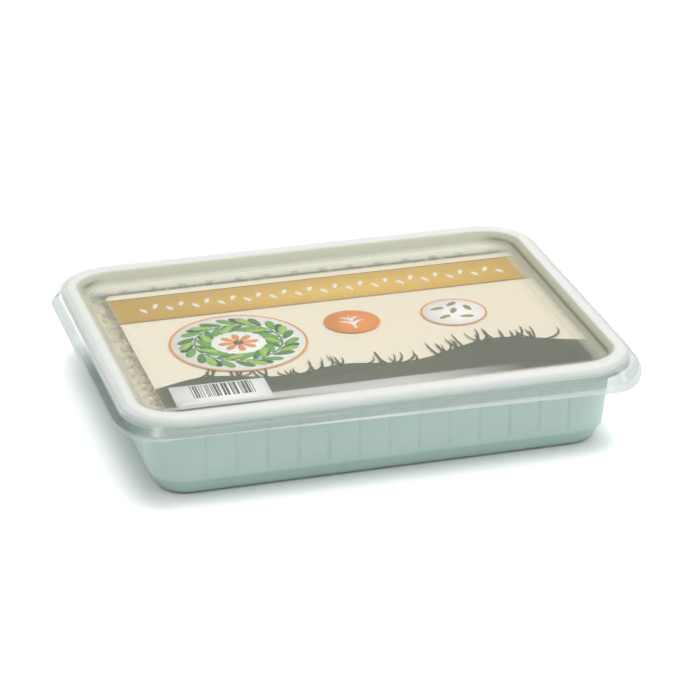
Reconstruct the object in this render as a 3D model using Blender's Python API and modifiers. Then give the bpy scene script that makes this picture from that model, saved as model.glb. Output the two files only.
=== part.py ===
"""A closed growing tray for grass: fluted tray, growing medium, seeds, printed card and clear lid.

The long side runs along X, the front faces -Y, and the origin is on the surface under the tray's centre.
"""

import math
import random

import bmesh
import bpy

MM = 0.001

# Driving dimensions, in millimetres
LID_TOP = 34.5
RIM_HALF_X = 91.0
RIM_HALF_Y = 71.1
BASE_HALF_X = 81.2
BASE_HALF_Y = 61.3
WALL_SLOPE = 0.10
RECESS_DEPTH = 4.2
SKIRT_FLARE = 6.3
SKIRT_DROP = 6.4
GAP = 0.3

# Tray
TRAY_SHEET = 0.7
TRAY_CORNER_X = 70.2
TRAY_CORNER_Y = 50.3
TRAY_CORNER_SHIFT = 0.35
BASE_ROUND_RUN = 1.0
BASE_ROUND_RISE = 0.6
FOOT_BELLY = 3.0
FOOT_BELLY_SPREAD = 1.2
FOOT_TOP = 6.0
FOOT_SPREAD = 2.2
FOOT_STEP = 0.6
FOOT_STEP_RISE = 0.4
SHOULDER_START = 29.0
SHOULDER_RUN = 2.6
FLANGE_UNDERSIDE = 33.0
FLANGE_RUN = 2.9
LIP_ROUND = 0.6
LIP_SPREAD = 0.2
LIP_DROP = 2.7
FLUTE_PITCH = 11.1
FLUTE_HALF_WIDTH = 1.5
FLUTE_DEPTH = 0.6
FLUTE_START = 7.4
FLUTE_FULL_FROM = 9.2
FLUTE_FULL_TO = 25.6
FLUTE_END = 27.4

# Lid
LID_SHEET = 0.45
LID_CORNER_X = 72.0
LID_CORNER_Y = 52.1
RIM_INNER_HALF_X = 88.0
RIM_INNER_HALF_Y = 66.0
RECESS_INSET = 4.2
PANEL_ROUND_RUN = 0.7
PANEL_ROUND_RISE = 0.25
RIM_ROUND_RUN = 0.7
RIM_ROUND_DROP = 0.4
BEAD_SPREAD = 3.1
BEAD_ROUND_RUN = 1.2
BEAD_ROUND_DROP = 0.35
BEAD_DROP = 1.2
WALL_LEAN = 0.3
LUG_TOP_DROP = 1.9
LUG_FOOT_DROP = 2.8
WALL_DROP = 3.5
LEDGE_RUN = 0.6
LEDGE_DROP = 0.4
HEM_RUN = 0.5
HEM_RISE = 0.4
LUG_ANGLE = 33.75
LUG_HEIGHT = 0.6
LOBE_DROP = 1.9
LOBE_SPREAD = 0.4

# Contents
MEDIUM_TOP = 24.0
MEDIUM_CLEARANCE = 1.7
SEED_VALLEY = 26.3
SEED_PEAK = 28.8
GRAIN_PITCH = 2.85
GRAIN_SWAY = 0.32
CROWN_SPREAD = 1.1
VALLEY_SPREAD = 0.6
CARD_LEFT = -77.2
CARD_RIGHT = 84.0
CARD_FRONT = -54.5
CARD_BACK = 53.2
CARD_THICKNESS = 0.4
CARD_CORNER = 3.0

CORNER_STEPS = 8
SEED = 11


def clear_scene():
    for obj in list(bpy.data.objects):
        bpy.data.objects.remove(obj, do_unlink=True)


def material(name, color, roughness, alpha=1.0, transmission=0.0):
    made = bpy.data.materials.new(name)
    made.use_nodes = True
    shader = made.node_tree.nodes["Principled BSDF"]
    shader.inputs["Base Color"].default_value = (*color, 1.0)
    shader.inputs["Roughness"].default_value = roughness
    shader.inputs["Metallic"].default_value = 0.0
    shader.inputs["Alpha"].default_value = alpha
    shader.inputs["Transmission Weight"].default_value = transmission
    return made


def flute_places(corner):
    """Each flute's two edges and its middle along a side, with 1 where it is deep and 0 where it isn't."""
    count = int((corner - FLUTE_HALF_WIDTH) // FLUTE_PITCH)
    places = []
    for number in range(-count, count + 1):
        middle = number * FLUTE_PITCH
        places += [(middle - FLUTE_HALF_WIDTH, 0.0), (middle, 1.0), (middle + FLUTE_HALF_WIDTH, 0.0)]
    return places


def outline(half_x, half_y, corner_x, corner_y, flutes=0.0, lugs=0.0):
    """A rounded rectangle, anticlockwise from +X, as (x, y) points.

    The corner arcs are centred on (corner_x, corner_y). flutes is how deep the grooves along the sides are,
    with None for sides without groove points, and lugs is how far the lug in each corner stands out.
    """
    points = []
    turns = ((1, 1), (-1, 1), (-1, -1), (1, -1))
    for quadrant, (sign_x, sign_y) in enumerate(turns):
        along_x = quadrant % 2 == 0
        for step in range(CORNER_STEPS + 1):
            turned = 90.0 * step / CORNER_STEPS
            from_long_side = 90.0 - turned if along_x else turned
            out = lugs if abs(from_long_side - LUG_ANGLE) < 1.0 else 0.0
            angle = math.radians(90.0 * quadrant + turned)
            x = sign_x * corner_x + (half_x - corner_x + out) * math.cos(angle)
            y = sign_y * corner_y + (half_y - corner_y + out) * math.sin(angle)
            points.append((x, y))
        if flutes is None:
            continue
        for place, depth in flute_places(TRAY_CORNER_X if along_x else TRAY_CORNER_Y):
            if along_x:
                points.append((-sign_y * place, sign_y * (half_y - depth * flutes)))
            else:
                points.append((sign_x * (half_x - depth * flutes), sign_x * place))
    return points


def corner_weight(x, y, corner_x, corner_y):
    """0 along the sides, 1 in the middle of a corner arc."""
    past_x = max(abs(x) - corner_x, 0.0)
    past_y = max(abs(y) - corner_y, 0.0)
    if past_x * past_y == 0.0:
        return 0.0
    return math.sin(2.0 * math.atan2(past_y, past_x)) ** 2


def sheet_from_rings(name, rings, upward):
    """An open surface lofted through unlike rings of equal point counts, the first closed by a flat face."""
    mesh = bpy.data.meshes.new(name)
    shape = bmesh.new()
    rows = [[shape.verts.new((x * MM, y * MM, z * MM)) for x, y, z in ring] for ring in rings]
    count = len(rows[0])
    shape.faces.new(rows[0] if upward else rows[0][::-1])
    for inner, outer in zip(rows, rows[1:]):
        for i in range(count):
            j = (i + 1) % count
            corners = (inner[i], outer[i], outer[j], inner[j])
            shape.faces.new(corners if upward else corners[::-1])
    shape.to_mesh(mesh)
    shape.free()
    obj = bpy.data.objects.new(name, mesh)
    collection.objects.link(obj)
    mesh.shade_smooth()
    mesh.set_sharp_from_angle(angle=math.radians(30))
    return obj


def merge_flats(obj):
    planar = obj.modifiers.new("merge_flats", "DECIMATE")
    planar.decimate_type = "DISSOLVE"
    planar.angle_limit = math.radians(0.2)


def thicken(obj, thickness):
    solid = obj.modifiers.new("sheet", "SOLIDIFY")
    solid.thickness = thickness * MM
    solid.offset = -1.0
    solid.use_even_offset = True
    solid.use_quality_normals = True


def wall_spread(height):
    """How far the tray's outer wall stands out from the base outline at a height above the foot band."""
    return FOOT_SPREAD + FOOT_STEP + WALL_SLOPE * (height - FOOT_TOP)


def tray_ring(spread, height, flutes):
    """A ring of the tray, whose corner centres move outwards as its wall widens, up to the shoulder."""
    shift = TRAY_CORNER_SHIFT * min(max(spread, 0.0), wall_spread(SHOULDER_START))
    flat = outline(
        BASE_HALF_X + spread,
        BASE_HALF_Y + spread,
        TRAY_CORNER_X + shift,
        TRAY_CORNER_Y + shift,
        flutes,
    )
    return [(x, y, height) for x, y in flat]


def tray():
    """Thermoformed tray: foot band, fluted wall, sloped shoulder, flange and turned-down lip.

    A level is how far its ring stands out from the base outline, its height, and how deep its flutes are.
    """
    shoulder = wall_spread(SHOULDER_START)
    flange_inner = shoulder + SHOULDER_RUN
    flange_outer = flange_inner + FLANGE_RUN
    lip_bottom = FLANGE_UNDERSIDE - LIP_DROP
    levels = [
        (-BASE_ROUND_RUN, 0.0, 0.0),
        (0.0, BASE_ROUND_RISE, 0.0),
        (FOOT_BELLY_SPREAD, FOOT_BELLY, 0.0),
        (FOOT_SPREAD, FOOT_TOP, 0.0),
        (FOOT_SPREAD + FOOT_STEP, FOOT_TOP + FOOT_STEP_RISE, 0.0),
        (wall_spread(FLUTE_START), FLUTE_START, 0.0),
        (wall_spread(FLUTE_FULL_FROM), FLUTE_FULL_FROM, FLUTE_DEPTH),
        (wall_spread(FLUTE_FULL_TO), FLUTE_FULL_TO, FLUTE_DEPTH),
        (wall_spread(FLUTE_END), FLUTE_END, 0.0),
        (shoulder, SHOULDER_START, 0.0),
        (flange_inner, FLANGE_UNDERSIDE, 0.0),
        (flange_outer, FLANGE_UNDERSIDE, 0.0),
        (flange_outer + LIP_ROUND, FLANGE_UNDERSIDE - LIP_ROUND, 0.0),
        (flange_outer + LIP_ROUND + LIP_SPREAD, lip_bottom, 0.0),
    ]
    rings = [tray_ring(spread, height, depth) for spread, height, depth in levels]
    obj = sheet_from_rings("tray", rings, upward=False)
    merge_flats(obj)
    thicken(obj, TRAY_SHEET)
    obj.data.materials.append(material("mint_plastic", (0.39, 0.52, 0.47), 0.42))
    return obj


def lid():
    """Clear thermoformed lid: recessed panel, raised rim, outer wall with snap lugs, flared skirt.

    A level is its half length and half width, its height, how far its lugs stand out, and how much of the
    corner lobes it has.
    """
    floor = LID_TOP - RECESS_DEPTH
    bead_x = RIM_HALF_X + BEAD_SPREAD
    bead_y = RIM_HALF_Y + BEAD_SPREAD
    wall_x = bead_x + WALL_LEAN
    wall_y = bead_y + WALL_LEAN
    skirt_x = RIM_HALF_X + SKIRT_FLARE
    skirt_y = RIM_HALF_Y + SKIRT_FLARE
    skirt_z = LID_TOP - SKIRT_DROP
    inner_x = RIM_INNER_HALF_X - RECESS_INSET
    inner_y = RIM_INNER_HALF_Y - RECESS_INSET
    rim_foot_x = RIM_INNER_HALF_X - RIM_ROUND_RUN
    rim_foot_y = RIM_INNER_HALF_Y - RIM_ROUND_RUN
    levels = [
        (inner_x - PANEL_ROUND_RUN, inner_y - PANEL_ROUND_RUN, floor, 0.0, 0.0),
        (inner_x, inner_y, floor + PANEL_ROUND_RISE, 0.0, 0.0),
        (rim_foot_x, rim_foot_y, LID_TOP - RIM_ROUND_DROP, 0.0, 0.0),
        (RIM_INNER_HALF_X, RIM_INNER_HALF_Y, LID_TOP, 0.0, 0.0),
        (RIM_HALF_X, RIM_HALF_Y, LID_TOP, 0.0, 0.0),
        (bead_x - BEAD_ROUND_RUN, bead_y - BEAD_ROUND_RUN, LID_TOP - BEAD_ROUND_DROP, 0.0, 0.0),
        (bead_x, bead_y, LID_TOP - BEAD_DROP, 0.0, 0.0),
        (bead_x, bead_y, LID_TOP - LUG_TOP_DROP, LUG_HEIGHT, 0.0),
        (wall_x, wall_y, LID_TOP - LUG_FOOT_DROP, LUG_HEIGHT, 0.0),
        (wall_x, wall_y, LID_TOP - WALL_DROP, 0.0, 0.2),
        (wall_x + LEDGE_RUN, wall_y + LEDGE_RUN, LID_TOP - WALL_DROP - LEDGE_DROP, 0.0, 0.3),
        (skirt_x - HEM_RUN, skirt_y - HEM_RUN, skirt_z + HEM_RISE, 0.0, 0.9),
        (skirt_x, skirt_y, skirt_z, 0.0, 1.0),
    ]
    rings = []
    for half_x, half_y, height, lug, lobe in levels:
        flat = outline(half_x, half_y, LID_CORNER_X, LID_CORNER_Y, None, lug)
        ring = []
        for x, y in flat:
            weight = lobe * corner_weight(x, y, LID_CORNER_X, LID_CORNER_Y)
            scale_x = 1.0 + weight * LOBE_SPREAD / half_x
            scale_y = 1.0 + weight * LOBE_SPREAD / half_y
            ring.append((x * scale_x, y * scale_y, height - weight * LOBE_DROP))
        rings.append(ring)
    obj = sheet_from_rings("lid", rings, upward=True)
    merge_flats(obj)
    thicken(obj, LID_SHEET)
    obj.data.materials.append(material("clear_plastic", (0.9, 0.92, 0.91), 0.12, 0.35, 0.9))
    return obj


def inside_spread(height):
    """How far the contents reach past the base outline at a height inside the tray."""
    spread = wall_spread(height) if height > FOOT_TOP else FOOT_SPREAD * height / FOOT_TOP
    return spread - MEDIUM_CLEARANCE


def growing_medium():
    """The block of medium, following the tray's inside up to the seeds."""
    heights = (TRAY_SHEET + GAP, FOOT_TOP, MEDIUM_TOP)
    rings = [tray_ring(inside_spread(height), height, None) for height in heights]
    obj = sheet_from_rings("growing_medium", rings, upward=False)
    shape = bmesh.new()
    shape.from_mesh(obj.data)
    bmesh.ops.holes_fill(shape, edges=shape.edges)
    bmesh.ops.recalc_face_normals(shape, faces=shape.faces)
    shape.to_mesh(obj.data)
    shape.free()
    obj.data.materials.append(material("growing_medium", (0.22, 0.17, 0.11), 0.95))
    return obj


def seed_layer():
    """One body of touching grains: every other point of a grid is a grain's crown, the rest lie between."""
    generator = random.Random(SEED)
    half_x = BASE_HALF_X + inside_spread(SEED_VALLEY)
    half_y = BASE_HALF_Y + inside_spread(SEED_VALLEY)
    bottom = MEDIUM_TOP + GAP
    columns = round(2 * half_x / GRAIN_PITCH)
    rows = round(2 * half_y / GRAIN_PITCH)
    mesh = bpy.data.meshes.new("seed_layer")
    shape = bmesh.new()
    grid = []
    for row in range(rows + 1):
        y = half_y * (2.0 * row / rows - 1.0)
        past = max(abs(y) - TRAY_CORNER_Y, 0.0) / (half_y - TRAY_CORNER_Y)
        reach = TRAY_CORNER_X + (half_x - TRAY_CORNER_X) * math.sqrt(max(1.0 - past * past, 0.0))
        line = []
        for column in range(columns + 1):
            x = reach * (2.0 * column / columns - 1.0)
            edge = row in (0, rows) or column in (0, columns)
            crown = (row + column) % 2 == 0
            if edge:
                spot = (x, y, SEED_VALLEY)
            elif crown:
                sway = GRAIN_SWAY * GRAIN_PITCH
                height = SEED_PEAK - CROWN_SPREAD * generator.random() ** 2
                spot = (x + generator.uniform(-sway, sway), y + generator.uniform(-sway, sway), height)
            else:
                spot = (x, y, SEED_VALLEY - VALLEY_SPREAD * generator.random())
            line.append(shape.verts.new([value * MM for value in spot]))
        grid.append(line)
    for row in range(rows):
        for column in range(columns):
            a, b = grid[row][column], grid[row][column + 1]
            d, c = grid[row + 1][column], grid[row + 1][column + 1]
            if (row + column) % 2 == 0:
                shape.faces.new((a, b, d))
                shape.faces.new((b, c, d))
            else:
                shape.faces.new((a, b, c))
                shape.faces.new((a, c, d))
    border = [edge for edge in shape.edges if edge.is_boundary]
    walls = bmesh.ops.extrude_edge_only(shape, edges=border)["geom"]
    lower = [item for item in walls if isinstance(item, bmesh.types.BMVert)]
    for vert in lower:
        vert.co.z = bottom * MM
    bmesh.ops.holes_fill(shape, edges=[edge for edge in shape.edges if edge.is_boundary])
    bmesh.ops.recalc_face_normals(shape, faces=shape.faces)
    shape.to_mesh(mesh)
    shape.free()
    obj = bpy.data.objects.new("seed_layer", mesh)
    collection.objects.link(obj)
    mesh.materials.append(material("seeds", (0.42, 0.34, 0.2), 0.8))
    return obj


def printed_card():
    """A thin card with rounded corners, lying on the grains."""
    middle_x = (CARD_LEFT + CARD_RIGHT) / 2
    middle_y = (CARD_FRONT + CARD_BACK) / 2
    half_x = (CARD_RIGHT - CARD_LEFT) / 2
    half_y = (CARD_BACK - CARD_FRONT) / 2
    flat = outline(half_x, half_y, half_x - CARD_CORNER, half_y - CARD_CORNER, None)
    curve = bpy.data.curves.new("printed_card", "CURVE")
    curve.dimensions = "2D"
    curve.fill_mode = "BOTH"
    curve.extrude = CARD_THICKNESS / 2 * MM
    spline = curve.splines.new("POLY")
    spline.points.add(len(flat) - 1)
    for point, (x, y) in zip(spline.points, flat):
        point.co = (x * MM, y * MM, 0.0, 1.0)
    spline.use_cyclic_u = True
    obj = bpy.data.objects.new("printed_card", curve)
    collection.objects.link(obj)
    obj.location = (middle_x * MM, middle_y * MM, (SEED_PEAK + GAP + CARD_THICKNESS / 2) * MM)
    curve.materials.append(material("printed_card", (0.83, 0.77, 0.63), 0.6))
    return obj


clear_scene()
collection = bpy.data.collections.new("lidded_grass_tray")
bpy.context.scene.collection.children.link(collection)
tray()
growing_medium()
seed_layer()
printed_card()
lid()
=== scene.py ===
import math

import bpy
import numpy as np
from mathutils import Matrix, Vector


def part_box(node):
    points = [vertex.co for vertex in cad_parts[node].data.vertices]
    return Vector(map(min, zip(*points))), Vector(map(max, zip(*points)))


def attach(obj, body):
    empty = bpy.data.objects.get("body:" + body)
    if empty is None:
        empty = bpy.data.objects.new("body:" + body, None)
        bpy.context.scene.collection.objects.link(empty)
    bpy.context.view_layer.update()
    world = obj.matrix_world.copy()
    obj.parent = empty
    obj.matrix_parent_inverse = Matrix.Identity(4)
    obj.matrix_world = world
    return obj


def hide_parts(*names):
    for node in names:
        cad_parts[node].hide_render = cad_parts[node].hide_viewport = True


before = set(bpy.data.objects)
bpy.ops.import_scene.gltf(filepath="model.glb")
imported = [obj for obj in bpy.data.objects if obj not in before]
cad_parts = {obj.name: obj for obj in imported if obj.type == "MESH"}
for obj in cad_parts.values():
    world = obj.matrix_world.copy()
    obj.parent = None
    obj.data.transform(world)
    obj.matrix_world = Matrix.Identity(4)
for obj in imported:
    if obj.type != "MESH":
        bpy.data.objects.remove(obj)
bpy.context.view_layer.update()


# Camera
# A long lens a little over a metre away, in front of the tray and a little to its left. It looks down on the
# lid.

LENS = 159.26
CAMERA_PLACE = (-0.28097, -1.00983, 0.48554)
CAMERA_TURN = math.radians(-15.766)
CAMERA_HEIGHT = math.radians(23.93)
CAMERA_ROLL = math.radians(-0.251)

camera_data = bpy.data.cameras.new("camera")
camera_data.lens = LENS
camera = bpy.data.objects.new("camera", camera_data)
bpy.context.scene.collection.objects.link(camera)
aim = Matrix.Rotation(CAMERA_TURN, 4, "Z") @ Matrix.Rotation(math.pi / 2 - CAMERA_HEIGHT, 4, "X")
camera.matrix_world = Matrix.Translation(CAMERA_PLACE) @ aim @ Matrix.Rotation(CAMERA_ROLL, 4, "Z")
bpy.context.scene.camera = camera


# Studio
# A white sweep in a pale tent that is brighter overhead than round its foot. One big soft light hangs high
# behind the tray on its right, and a weaker one stands in front on the right. The sweep's paint glows faintly
# as painted light, except close to the tray, where the tray's shadow is left to show.

TENT_SIDE = 0.42
TENT_TOP = 1.12
TENT_RISE = (0.30, 0.75)
KEY_PLACE = (0.25, 0.22, 0.90)
KEY_SIZE = 0.8
KEY_POWER = 2.6
FRONT_PLACE = (0.85, -0.55, 0.42)
FRONT_SIZE = 0.5
FRONT_POWER = 1.8
FLOOR_HALF = 3.0
FLOOR_DROP = 0.0001
FLOOR_COLOR = (0.95, 0.95, 0.95)
# Painted light: how brightly the floor's paint glows beyond a box round the tray, and where it fades out near
# the tray.
PAINTED_GLOW = 0.4
PAINTED_GLOW_FROM, PAINTED_GLOW_TO = 0.003, 0.018
PAINTED_GLOW_HALF = (0.0780, 0.0620)
PAINTED_GLOW_MIDDLE = (-0.0025, 0.0035, 0.0)


def shader_node(material, kind, **inputs):
    """A node of this kind in a material's or the tent's tree, with plain values on its named inputs."""
    made = material.node_tree.nodes.new("ShaderNode" + kind)
    for name, value in inputs.items():
        made.inputs[name.replace("_", " ")].default_value = value
    return made


def new_material(name, **inputs):
    """A material with one Principled shader, whose inputs are set by name, and that shader."""
    material = bpy.data.materials.new(name)
    material.use_nodes = True
    shader = material.node_tree.nodes["Principled BSDF"]
    for socket, value in inputs.items():
        shader.inputs[socket.replace("_", " ")].default_value = value
    return material, shader


def joined(owner, socket, value):
    """Gives a socket its value: an output is linked to it, and a number or a colour is set on it."""
    if isinstance(value, bpy.types.NodeSocket):
        owner.node_tree.links.new(value, socket)
    else:
        socket.default_value = value


def worked(owner, kind, operation, *values):
    """A Math or VectorMath node that works on numbers, vectors or outputs."""
    made = shader_node(owner, kind)
    made.operation = operation
    for socket, value in zip(made.inputs, values):
        joined(owner, socket, value)
    return made


def mapped(owner, value, smooth=False, **limits):
    """A value carried from one range to another in a straight line or, with smooth, as 3t^2 - 2t^3."""
    made = shader_node(owner, "MapRange", **limits)
    if smooth:
        made.interpolation_type = "SMOOTHSTEP"
    joined(owner, made.inputs["Value"], value)
    return made.outputs["Result"]


def soft_light(name, place, size, power):
    """A square area light that looks at the middle of the tray."""
    data = bpy.data.lights.new(name, "AREA")
    data.size = size
    data.energy = power
    light = bpy.data.objects.new(name, data)
    bpy.context.scene.collection.objects.link(light)
    light.location = place
    light.rotation_euler = (-light.location).to_track_quat("-Z", "Y").to_euler()
    return light


soft_light("key", KEY_PLACE, KEY_SIZE, KEY_POWER)
soft_light("front", FRONT_PLACE, FRONT_SIZE, FRONT_POWER)
tent = bpy.data.worlds.new("tent")
tent.use_nodes = True
tent.node_tree.nodes["Background"].inputs["Color"].default_value = (1.0, 1.0, 1.0, 1.0)
sky = shader_node(tent, "TexCoord").outputs["Generated"]
upward = shader_node(tent, "SeparateXYZ")
tent.node_tree.links.new(sky, upward.inputs["Vector"])
strength = mapped(
    tent, upward.outputs["Z"], smooth=True,
    From_Min=TENT_RISE[0], From_Max=TENT_RISE[1], To_Min=TENT_SIDE, To_Max=TENT_TOP)
tent.node_tree.links.new(strength, tent.node_tree.nodes["Background"].inputs["Strength"])
bpy.context.scene.world = tent
bpy.context.scene.view_settings.view_transform = "Standard"

floor_mesh = bpy.data.meshes.new("floor")
floor_corners = np.array([(-1, -1), (1, -1), (1, 1), (-1, 1)]) * FLOOR_HALF
floor_mesh.from_pydata([(x, y, -FLOOR_DROP) for x, y in floor_corners], [], [(0, 1, 2, 3)])
floor_paint, floor_shader = new_material(
    "floor_paint", Base_Color=(*FLOOR_COLOR, 1.0), Roughness=0.9, Specular_IOR_Level=0.1)
place = shader_node(floor_paint, "TexCoord").outputs["Object"]
from_middle = worked(floor_paint, "VectorMath", "SUBTRACT", place, PAINTED_GLOW_MIDDLE)
size = worked(floor_paint, "VectorMath", "ABSOLUTE", from_middle.outputs["Vector"])
past = worked(floor_paint, "VectorMath", "SUBTRACT", size.outputs["Vector"], (*PAINTED_GLOW_HALF, 0.0))
beyond = worked(floor_paint, "VectorMath", "MAXIMUM", past.outputs["Vector"], (0.0, 0.0, 0.0))
away = worked(floor_paint, "VectorMath", "LENGTH", beyond.outputs["Vector"])
# Painted light: the floor's paint glows beyond a box round the tray, so only the floor close to the tray
# keeps its shadow.
painted_glow = mapped(
    floor_paint, away.outputs["Value"], smooth=True, From_Min=PAINTED_GLOW_FROM, From_Max=PAINTED_GLOW_TO, To_Max=PAINTED_GLOW)
floor_paint.node_tree.links.new(painted_glow, floor_shader.inputs["Emission Strength"])
floor_mesh.materials.append(floor_paint)
floor = bpy.data.objects.new("floor", floor_mesh)
bpy.context.scene.collection.objects.link(floor)


# Tray
# A shallow tray, drawn in one piece from a thin pale mint sheet. It has a foot band, upright flutes all round
# that stiffen the wall, a sloped shoulder, and a flat flange whose edge is turned down for the lid to grip.

MM = 0.001
TRAY_SHEET = 0.7
tray_high = np.array(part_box("tray")[1]) / MM
TRAY_SPREAD = 12.1
BASE_X = tray_high[0] - TRAY_SPREAD
BASE_Y = tray_high[1] - TRAY_SPREAD
FLANGE_UNDER = tray_high[2] - TRAY_SHEET
TRAY_CORNER = np.array([70.2, 50.3])
TRAY_CORNER_SHIFT = 0.35
TRAY_BEND = 0.22
SHOULDER_FOOT = 5.1
LEAST_RADIUS = 0.5
FLUTE_PITCH = 11.1
FLUTE_HALF_WIDTH = 1.4
FLUTE_DEPTH = 0.38
FLUTE_STEPS = 13
FLAT_PLACES = (3.6, 5.55, 7.5)
SHARP_ANGLE = math.radians(38)
MINT = (0.385, 0.505, 0.465)
MINT_PALE = (0.42, 0.545, 0.50)
# Painted shade: below this height the foot is darkened, and its lowest edge most, as a painted contact
# shadow.
FOOT_TOP = 0.0075
FOOT_PAINTED_SHADE = (0.87, 0.93, 0.91)
FOOT_EDGE_PAINTED_SHADOW = (0.24, 0.30, 0.28)
FOOT_PAINTED_SHADE_AT = (0.16, 0.86)


def rounded_loop(corner, places_x, places_y, arc_steps):
    """Places round a rectangle with round corners, anticlockwise from +X, for rings of any size.

    Each place has a centre, an outward direction and a pull. On a corner the centre stays put while the
    direction turns a quarter, and the pull is the corner's own sign. On a side the direction stays square
    to it while the centre runs along, and the pull is the direction.
    """
    turn = np.linspace(0.0, math.pi / 2, arc_steps + 1)
    centres, outwards, pulls, sides = [], [], [], []
    for quarter, sign in enumerate(((1, 1), (-1, 1), (-1, -1), (1, -1))):
        angle = quarter * math.pi / 2 + turn
        outwards.append(np.column_stack([np.cos(angle), np.sin(angle)]))
        centres.append(np.tile(np.array(sign) * corner, (len(angle), 1)))
        pulls.append(np.tile(np.array(sign, float), (len(angle), 1)))
        sides.append(np.full(len(angle), np.nan))
        square = outwards[-1][-1]
        along = np.array([-square[1], square[0]])
        places, reach = (places_x, corner[1]) if quarter % 2 == 0 else (places_y, corner[0])
        outwards.append(np.tile(square, (len(places), 1)))
        centres.append(square * reach + places[:, None] * along)
        pulls.append(outwards[-1])
        sides.append(places)
    return corner, *(np.concatenate(part) for part in (centres, outwards, pulls, sides))


def ring_points(loop, half_x, half_y, height, shift=0.0):
    """A grid of points, one ring to a row: centre + direction * (half size - corner centre).

    shift moves a ring's corner centres outwards and leaves its sides where they are. A ring too small for
    its corner centres keeps a small corner radius, and its centres shrink to half size - radius.
    """
    corner, centre, outward, pull, _ = loop
    half = np.stack(np.broadcast_arrays(half_x, half_y), axis=-1)
    shift = np.asarray(shift)[..., None]
    radius = np.maximum(half - corner, LEAST_RADIUS)
    flat = centre * (half - radius) / corner + radius * outward + shift * (pull - outward)
    height = np.broadcast_to(height, flat.shape[:-1])
    return np.concatenate([flat, height[..., None]], axis=-1)


def softened(levels, reach, steps=4):
    """A profile whose bends are rounded: each becomes (1-t)^2 a + 2t(1-t) b + t^2 c, where b is the bend
    and a and c lie up to reach before and after it."""
    length = np.hypot(np.diff(levels[:, 0]), np.diff(levels[:, 2]))
    share = np.minimum(reach / length, 0.45)
    bend = levels[1:-1]
    before = bend + share[:-1, None] * (levels[:-2] - bend)
    after = bend + share[1:, None] * (levels[2:] - bend)
    t = np.linspace(0.0, 1.0, steps)[None, :, None]
    curves = (1 - t) ** 2 * before[:, None] + 2 * t * (1 - t) * bend[:, None] + t**2 * after[:, None]
    return np.vstack([levels[:1], curves.reshape(-1, levels.shape[1]), levels[-1:]])


def lofted(name, points, upward):
    """A mesh of quads between the rows of a closed grid in millimetres. The first row gets a flat face.

    The faces look outwards and down, or with upward outwards and up.
    """
    rows, columns = points.shape[:2]
    index = np.arange(rows * columns).reshape(rows, columns)
    beside = np.roll(index, -1, axis=1)
    quads = np.stack([index[:-1], beside[:-1], beside[1:], index[1:]], axis=-1).reshape(-1, 4)
    cap = index[0]
    faces = (quads[:, ::-1] if upward else quads).tolist()
    faces.append((cap if upward else cap[::-1]).tolist())
    mesh = bpy.data.meshes.new(name)
    mesh.from_pydata((points.reshape(-1, 3) * MM).tolist(), [], faces)
    return mesh


def placed(name, mesh, material, sheet=0.0, replaces=None):
    """An object for a mesh: smooth, of one material, as thick as its sheet inwards, and on the part."""
    mesh.materials.append(material)
    mesh.shade_smooth()
    mesh.set_sharp_from_angle(angle=SHARP_ANGLE)
    piece = bpy.data.objects.new(name, mesh)
    bpy.context.scene.collection.objects.link(piece)
    if sheet:
        wall = piece.modifiers.new("sheet", "SOLIDIFY")
        wall.thickness = sheet * MM
        wall.offset = -1.0
        wall.use_even_offset = True
    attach(piece, "root")
    if replaces:
        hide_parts(replaces)
    return piece


def fluted_places(corner):
    """Places along a side: close together across each flute, and a few on the flat between two of them."""
    count = int((corner - FLUTE_HALF_WIDTH) // FLUTE_PITCH)
    middles = np.arange(-count, count + 1) * FLUTE_PITCH
    across = np.append(np.linspace(-1.0, 1.0, FLUTE_STEPS) * FLUTE_HALF_WIDTH, FLAT_PLACES)
    places = (middles[:, None] + across).ravel()
    ends = np.linspace(places[0], -corner, 4)[1:-1]
    places = np.sort(np.concatenate([ends, places, -ends]))
    return places[np.abs(places) < corner - LEAST_RADIUS]


def tray_shell():
    """Rings up the wall, over the flange and down its lip. A flute is a cosine wave deep in each ring.

    A level is how far it stands out from the base, its height, and its share of the flutes' depth.
    """
    profile = np.array([
        [-2.2, 0.0, 0.0], [-1.3, 0.2, 0.0], [-0.35, 1.0, 0.0], [0.5, 2.2, 0.0], [1.35, 4.0, 0.0],
        [2.2, 6.0, 0.0], [2.85, 6.3, 0.0],
        [2.94, 7.4, 0.0], [3.12, 9.2, 1.0], [4.76, 25.6, 1.0], [4.94, 27.4, 0.0], [SHOULDER_FOOT, 29.0, 0.0],
        [7.7, FLANGE_UNDER, 0.0], [10.6, FLANGE_UNDER, 0.0], [11.2, FLANGE_UNDER - 0.6, 0.0],
        [11.4, FLANGE_UNDER - 2.7, 0.0],
    ])
    levels = softened(profile[:, [0, 0, 1, 2]], TRAY_BEND)
    loop = rounded_loop(TRAY_CORNER, fluted_places(TRAY_CORNER[0]), fluted_places(TRAY_CORNER[1]), 20)
    offset = np.nan_to_num(loop[4], nan=FLUTE_PITCH / 2) / FLUTE_PITCH
    from_middle = np.abs(offset - np.round(offset)) * FLUTE_PITCH / FLUTE_HALF_WIDTH
    groove = 0.5 + 0.5 * np.cos(math.pi * np.minimum(from_middle, 1.0))
    spread, height = levels[:, :1], levels[:, 2:3]
    push = spread - FLUTE_DEPTH * levels[:, 3:] * groove
    shift = TRAY_CORNER_SHIFT * np.clip(spread, 0.0, SHOULDER_FOOT)
    points = ring_points(loop, BASE_X + push, BASE_Y + push, height, shift)
    return lofted("tray_shell", points, upward=False)


def noise(material, place, scale, detail):
    """An output that rises and falls over the object, about scale times in a metre."""
    made = shader_node(material, "TexNoise", Scale=scale, Detail=detail)
    joined(material, made.inputs["Vector"], place)
    return made.outputs["Fac"]


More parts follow.
